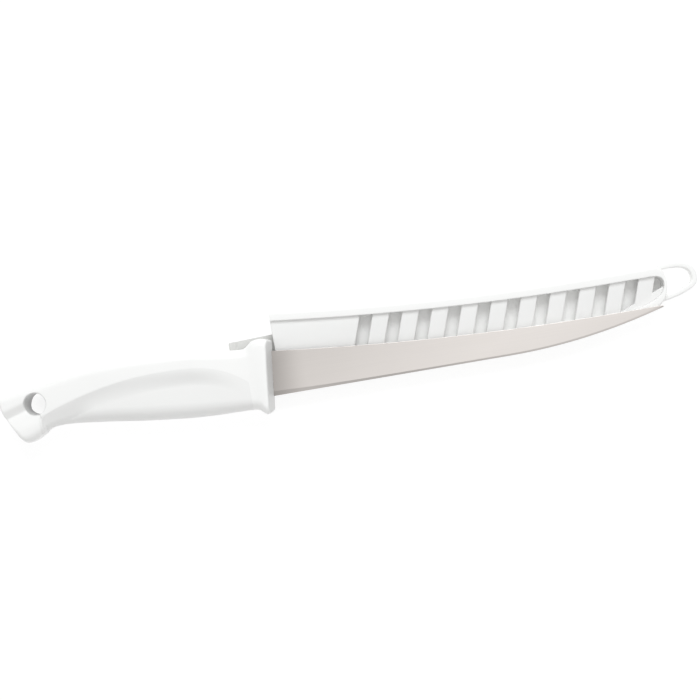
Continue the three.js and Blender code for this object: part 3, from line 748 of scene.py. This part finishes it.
def crease_line(x):
    """The arched crease below which the grip lies."""
    share = np.clip((NECK - x) / (NECK - GRIP_END), 0, 1)
    climb = np.minimum(share / CREASE_PEAK, (1 - share) / (1 - CREASE_PEAK))
    power = np.where(share < CREASE_PEAK, CREASE_FRONT_BEND, CREASE_REAR_BEND)
    return CREASE_LOW + CREASE_RISE * (1 - (1 - climb) ** power)


def rounded_cut(body, cut, radius):
    """What is in both of two shapes, with the edge between them rounded."""
    near = np.hypot(np.maximum(body + radius, 0), np.maximum(cut + radius, 0))
    return np.minimum(np.maximum(body, cut), -radius) + near


def scoop(x, y):
    """How deep the grip's faces lie below the crease: scooped for the fingers, and at the rear one
    sloping flank that ends at a wall with a rounded corner."""
    below = crease_line(x) - y
    share = np.clip(below / SCOOP_WIDTH, 0, 1)
    crisp = ease((CRISP_START - x) / CRISP_FADE)
    profile = crisp * share * (2 - share) + (1 - crisp) * ease(share)
    finger = SCOOP_DEPTH * ease((SCOOP_START - x) / SCOOP_FADE) * profile
    corner = np.clip((y + END_CORNER - END_CORNER_TOP) / END_CORNER, 0, 1)
    wall = GRIP_END + END_LEDGE + END_CORNER * (1 - np.sqrt(1 - corner ** 2))
    flank = np.clip(FLANK_SLOPE * below, 0, FLANK_DEPTH) * ease((x - wall) / END_WALL)
    tail = ease((TAIL_START - x) / TAIL_FADE)
    return finger * (1 - tail) + flank * tail


def collar_front(p):
    """Distance to the collar's front, which leans with the guard and falls back beside the blade."""
    x, y, z = p
    front = (x - COLLAR_FRONT - (y - COLLAR_TOP) * COLLAR_LEAN) / math.hypot(1, COLLAR_LEAN)
    return (front + np.abs(z) * COLLAR_RAKE) / math.hypot(1, COLLAR_RAKE)


def lanyard_groove(out_x, out_y, z):
    """Distance into the groove that runs back from the hole, positive where it is cut."""
    along = out_x * math.cos(GROOVE_ANGLE) + out_y * math.sin(GROOVE_ANGLE)
    aside = out_y * math.cos(GROOVE_ANGLE) - out_x * math.sin(GROOVE_ANGLE) + GROOVE_BELOW_HOLE
    middle = aside * (GROOVE_UPPER - GROOVE_LOWER) / 2
    spread = aside * (GROOVE_UPPER + GROOVE_LOWER) / 2
    rise = middle + np.hypot(spread, GROOVE_ROUND) - GROOVE_ROUND
    floor = (np.abs(z) - GROOVE_FLOOR - rise) / math.hypot(1, GROOVE_UPPER)
    return np.minimum(floor, -along)


def handle_skin(p):
    """Distance to the handle's outside, negative within: a crowned slab with round edges, scooped
    below the crease, then cut at the collar, the butt, the groove and the hole."""
    x, y, z = p
    lean = 1 + (y - COLLAR_TOP) * COLLAR_LEAN / (COLLAR_FRONT - NECK)
    place = np.where(x > NECK, NECK + (x - NECK) / lean, x)
    top = handle_top(place)
    foot = handle_foot(place)
    above = (y - top) / np.hypot(1, slope_of(handle_top, place))
    below = (foot - y) / np.hypot(1, slope_of(handle_foot, place))
    across = (2 * y - top - foot) / (top - foot)
    half = handle_half(place) * (1 - FACE_CROWN * across ** 2) - scoop(x, y)
    edge = np.where(above > below, spine_round(place), belly_round(place))
    body = rounded_cut(np.maximum(above, below), np.abs(z) - half, edge)
    body = rounded_cut(body, collar_front(p), COLLAR_ROUND)
    butt_cut = -(BUTT_FALL * (x - BUTT) + BUTT_CUT * (y - BUTT_CORNER)) / math.hypot(BUTT_FALL, BUTT_CUT)
    body = rounded_cut(body, butt_cut, BUTT_CUT_ROUND)
    body = rounded_cut(body, BUTT - x, BUTT_ROUND)
    out_x = x - HOLE_PLACE[0]
    out_y = y - HOLE_PLACE[1]
    body = rounded_cut(body, lanyard_groove(out_x, out_y, z), GROOVE_EDGE)
    return rounded_cut(body, HOLE_RADIUS - np.hypot(out_x, out_y), HOLE_EDGE)


def grip_side(p):
    """Distance to the wall that the grip stands in, negative on the grip's side."""
    x, y, z = p
    below = (y - crease_line(x)) / np.hypot(1, slope_of(crease_line, x))
    return np.maximum(np.maximum(below, GRIP_END - x), x - NECK)


def block(p, low, high):
    """Distance to a block between two corners, negative within."""
    gaps = [np.maximum(least - place, place - most) for place, least, most in zip(p, low, high)]
    return np.maximum(np.maximum(gaps[0], gaps[1]), gaps[2])


def web(p):
    """The web round the tang, hidden in the grip."""
    return block(p, (GRIP_END - WEB_REACH, WEB_LOW, -WEB_HALF), (NECK + WEB_REACH, WEB_HIGH, WEB_HALF))


def core_shape(p):
    """The handle without the grip's share of it, with room for the steel."""
    steel = np.minimum(block(p, *TANG_ROOM), block(p, *HEEL_ROOM))
    solid = np.maximum(handle_skin(p), np.minimum(-grip_side(p), web(p)))
    return np.maximum(solid, -steel)


def slope_at(shape, p, value):
    """Which way a shape's distance grows, and how fast."""
    reach = 0.02
    steps = np.eye(3) * reach
    return np.array([(shape(p + step[:, None]) - value) / reach for step in steps])


def settled(p, shape, wall):
    """Points moved on to a shape's surface, and on to its crisp edge where the skin meets a wall."""
    flattest = 0.05
    near = 0.92 * CELL
    for turn in range(4):
        value = shape(p)
        slope = slope_at(shape, p, value)
        step = value / np.maximum((slope ** 2).sum(axis=0), flattest)
        p = p - np.clip(step, -CELL, CELL) * slope
    for turn in range(3):
        skin = handle_skin(p)
        cut = wall(p)
        edge = (np.abs(skin) < near) & (np.abs(cut) < near)
        skin, cut, spot = skin[edge], cut[edge], p[:, edge]
        skin_way = slope_at(handle_skin, spot, skin)
        cut_way = slope_at(wall, spot, cut)
        skin_square = (skin_way * skin_way).sum(axis=0)
        cut_square = (cut_way * cut_way).sum(axis=0)
        shared = (skin_way * cut_way).sum(axis=0)
        scale = np.maximum(skin_square * cut_square - shared * shared, flattest)
        by_skin = np.clip((skin * cut_square - cut * shared) / scale, -CELL, CELL)
        by_cut = np.clip((cut * skin_square - skin * shared) / scale, -CELL, CELL)
        p[:, edge] = spot - by_skin * skin_way - by_cut * cut_way
    return p


def skin_over(shape, low, high, wall):
    """A closed skin of quads over a shape: a point in each cell that its surface crosses, settled on
    the surface, and a face round each crossed edge of the grid."""
    lines = [np.arange(start, stop, CELL) for start, stop in zip(low, high)]
    grid = np.meshgrid(*lines, indexing="ij")
    value = shape(np.array([places.ravel() for places in grid])).reshape(grid[0].shape)
    cells = tuple(size - 1 for size in value.shape)
    total = np.zeros((*cells, 3))
    count = np.zeros(cells, int)
    corners = []
    for axis in range(3):
        near = np.take(value, range(value.shape[axis] - 1), axis)
        far = np.take(value, range(1, value.shape[axis]), axis)
        at = np.argwhere((near < 0) != (far < 0))
        first, second = near[tuple(at.T)], far[tuple(at.T)]
        crossing = at.astype(float)
        crossing[:, axis] += first / (first - second)
        aside = np.eye(3, dtype=int)[(axis + 1) % 3]
        beyond = np.eye(3, dtype=int)[(axis + 2) % 3]
        around = np.array([at, at - aside, at - aside - beyond, at - beyond])
        for cell in around:
            np.add.at(total, tuple(cell.T), crossing)
            np.add.at(count, tuple(cell.T), 1)
        corners.append(np.where((first < 0)[None, :, None], around, around[::-1]))
    used = count > 0
    number = np.cumsum(used).reshape(cells) - 1
    points = (total[used] / count[used][:, None]) * CELL + np.array([line[0] for line in lines])
    around = np.concatenate(corners, axis=1)
    faces = number[around[..., 0], around[..., 1], around[..., 2]].T
    return settled(points.T, shape, wall).T, faces.tolist()


def shade_as(obj, shape):
    """Shading normals from the shape itself, so that its small round edges show no facets."""
    reach = 0.15
    skin_deep = 0.05
    flattest = 0.001
    mesh = obj.data
    spots = np.empty(3 * len(mesh.vertices))
    mesh.vertices.foreach_get("co", spots)
    p = spots.reshape(-1, 3).T / MM - np.array(HEEL)[:, None]
    steps = np.eye(3)[:, :, None] * reach
    outside = np.array([handle_skin(p + step) - handle_skin(p - step) for step in steps])
    inside = np.array([shape(p + step) - shape(p - step) for step in steps])
    slope = np.where(np.abs(handle_skin(p)) < skin_deep, outside, inside)
    length = np.maximum(np.linalg.norm(slope, axis=0), flattest)
    mesh.normals_split_custom_set_from_vertices((slope / length).T.tolist())


def handle_painted_shade(p):
    """Painted shade on the handle: darker deep in the lanyard hole, and on the collar's front beside the
    blade.
    """
    x, y, z = p
    within = HOLE_RADIUS + HOLE_SHADE_EDGE - np.hypot(x - HOLE_PLACE[0], y - HOLE_PLACE[1])
    depth = sum(share * ease((top - z) / run) for share, top, run in (HOLE_SHADE_UPPER, HOLE_SHADE_LOWER))
    front = FRONT_SHADE * ease((collar_front(p) + FRONT_SHADE_REACH) / FRONT_SHADE_FADE)
    return np.maximum(ease(within / HOLE_SHADE_EDGE) * depth, front)


handle_white = moulded_plastic(
    "gloss_handle_plastic", "handle_plastic", tone=1.06, gloss=0.34,
    grain_size=0.0005, grain_depth=0.00003,
)
points, faces = skin_over(core_shape, *CORE_GRID, grip_side)
# Painted shade: the lanyard hole and the collar's front are greyed where shade falls on them
soil = handle_painted_shade(points.T)
core = mesh_piece("handle_core_moulding", points, faces, HEEL, handle_white, soil=soil)
shade_as(core, core_shape)
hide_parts("handle_core")
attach(core, "knife")

# Handle grip: matte white plastic moulded over the core below the crease, so that it wraps the belly and
# both sides. It meets the core at a hairline, and its faces are scooped for the fingers.
HAIRLINE = 0.015
GRIP_GRID = ((-119.9, -18.3, -11.7), (-13.4, 11.9, 11.9))


def grip_wall(p):
    """The wall of the core, a hairline away on the grip's side."""
    return grip_side(p) + HAIRLINE


def grip_shape(p):
    """The grip's share of the handle, without the web."""
    return np.maximum(np.maximum(handle_skin(p), grip_wall(p)), HAIRLINE - web(p))


grip_white = moulded_plastic(
    "matte_grip_plastic", "grip_plastic", tone=1.01, gloss=0.44,
    grain_size=0.0004, grain_depth=0.00006,
)
points, faces = skin_over(grip_shape, *GRIP_GRID, grip_wall)
grip = mesh_piece("handle_grip_moulding", points, faces, HEEL, grip_white)
shade_as(grip, grip_shape)
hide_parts("handle_grip")
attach(grip, "knife")

# The room: a plain pale floor that the set lies on, daylight all round and one wide soft lamp beyond
# the spine.
FLOOR_REACH, FLOOR_DROP = 12.0, 0.0002
SKY_STOPS = ((0, 0.78), (0.09, 0.78), (0.14, 0.11), (1, 0.95))
IMAGE_RIGHT = Vector((0.9857, -0.1685, 0))
IMAGE_UP = Vector((0.1685, 0.9857, 0))
CENTRE = Vector((-0.0236, -0.0083, 0.0103))
floor_mesh = bpy.data.meshes.new("pale_floor")
corners = [(-1, -1), (1, -1), (1, 1), (-1, 1)]
points = [(x * FLOOR_REACH, y * FLOOR_REACH, -FLOOR_DROP) for x, y in corners]
floor_mesh.from_pydata(points, [], [(0, 1, 2, 3)])
floor = bpy.data.objects.new("pale_floor", floor_mesh)
bpy.context.scene.collection.objects.link(floor)
pale = bpy.data.materials.new("pale_floor_paint")
paint = empty_nodes(pale)
place = paint.node("ShaderNodeTexCoord", {}, {}, "Object")
tint = paint.mix(paint.noise(place, 6.0, 2.0), (0.24, 0.24, 0.24, 1), (0.26, 0.26, 0.26, 1))
shader = paint.node("ShaderNodeBsdfPrincipled", {}, {
    "Base Color": tint, "Roughness": 0.9, "Emission Color": (1, 1, 1, 1), "Emission Strength": 0.8,
})
paint.node("ShaderNodeOutputMaterial", {}, {"Surface": shader})
floor_mesh.materials.append(pale)

world = bpy.data.worlds.new("studio")
bpy.context.scene.world = world
sky = empty_nodes(world)
way = sky.node("ShaderNodeTexCoord", {}, {}, "Generated")
rise = sky.node("ShaderNodeSeparateXYZ", {}, {"Vector": way}, 2)
glow = sky.node("ShaderNodeValToRGB", {"stops": SKY_STOPS}, {"Fac": rise})
glow = sky.node("ShaderNodeBackground", {}, {"Color": glow, "Strength": 1.12})
sky.node("ShaderNodeOutputWorld", {}, {"Surface": glow})


def aimed(obj, place, target, up):
    """Puts an object at a place, looking at a target, with its own Y axis towards up."""
    back = (place - target).normalized()
    right = up.cross(back).normalized()
    turn = Matrix((right, back.cross(right), back)).transposed()
    obj.matrix_world = Matrix.Translation(place) @ turn.to_4x4()
    bpy.context.scene.collection.objects.link(obj)


lamp = bpy.data.lights.new("lamp_beyond_spine", "AREA")
lamp.shape = "RECTANGLE"
lamp.size = 0.7
lamp.size_y = 0.6
lamp.energy = 8.2
lamp.color = (0.97, 0.99, 1)
lamp_place = CENTRE + IMAGE_UP * 0.93 + IMAGE_RIGHT * 0.05 + Vector((0, 0, 0.97))
lamp_up = IMAGE_UP + Vector((0, 0, 0.1))
aimed(bpy.data.objects.new("lamp_beyond_spine", lamp), lamp_place, CENTRE, lamp_up)

# The camera looks straight down on the set from close by, turned so that the blade rises to the right
CAMERA_HEIGHT = 0.58
FRAME_WIDTH = 0.3419
camera = bpy.data.cameras.new("camera")
camera.sensor_width = 36
camera.lens = camera.sensor_width * CAMERA_HEIGHT / FRAME_WIDTH
viewer = bpy.data.objects.new("camera", camera)
aimed(viewer, CENTRE + Vector((0, 0, CAMERA_HEIGHT)), CENTRE, IMAGE_UP)
bpy.context.scene.camera = viewer
bpy.context.scene.view_settings.view_transform = "Standard"
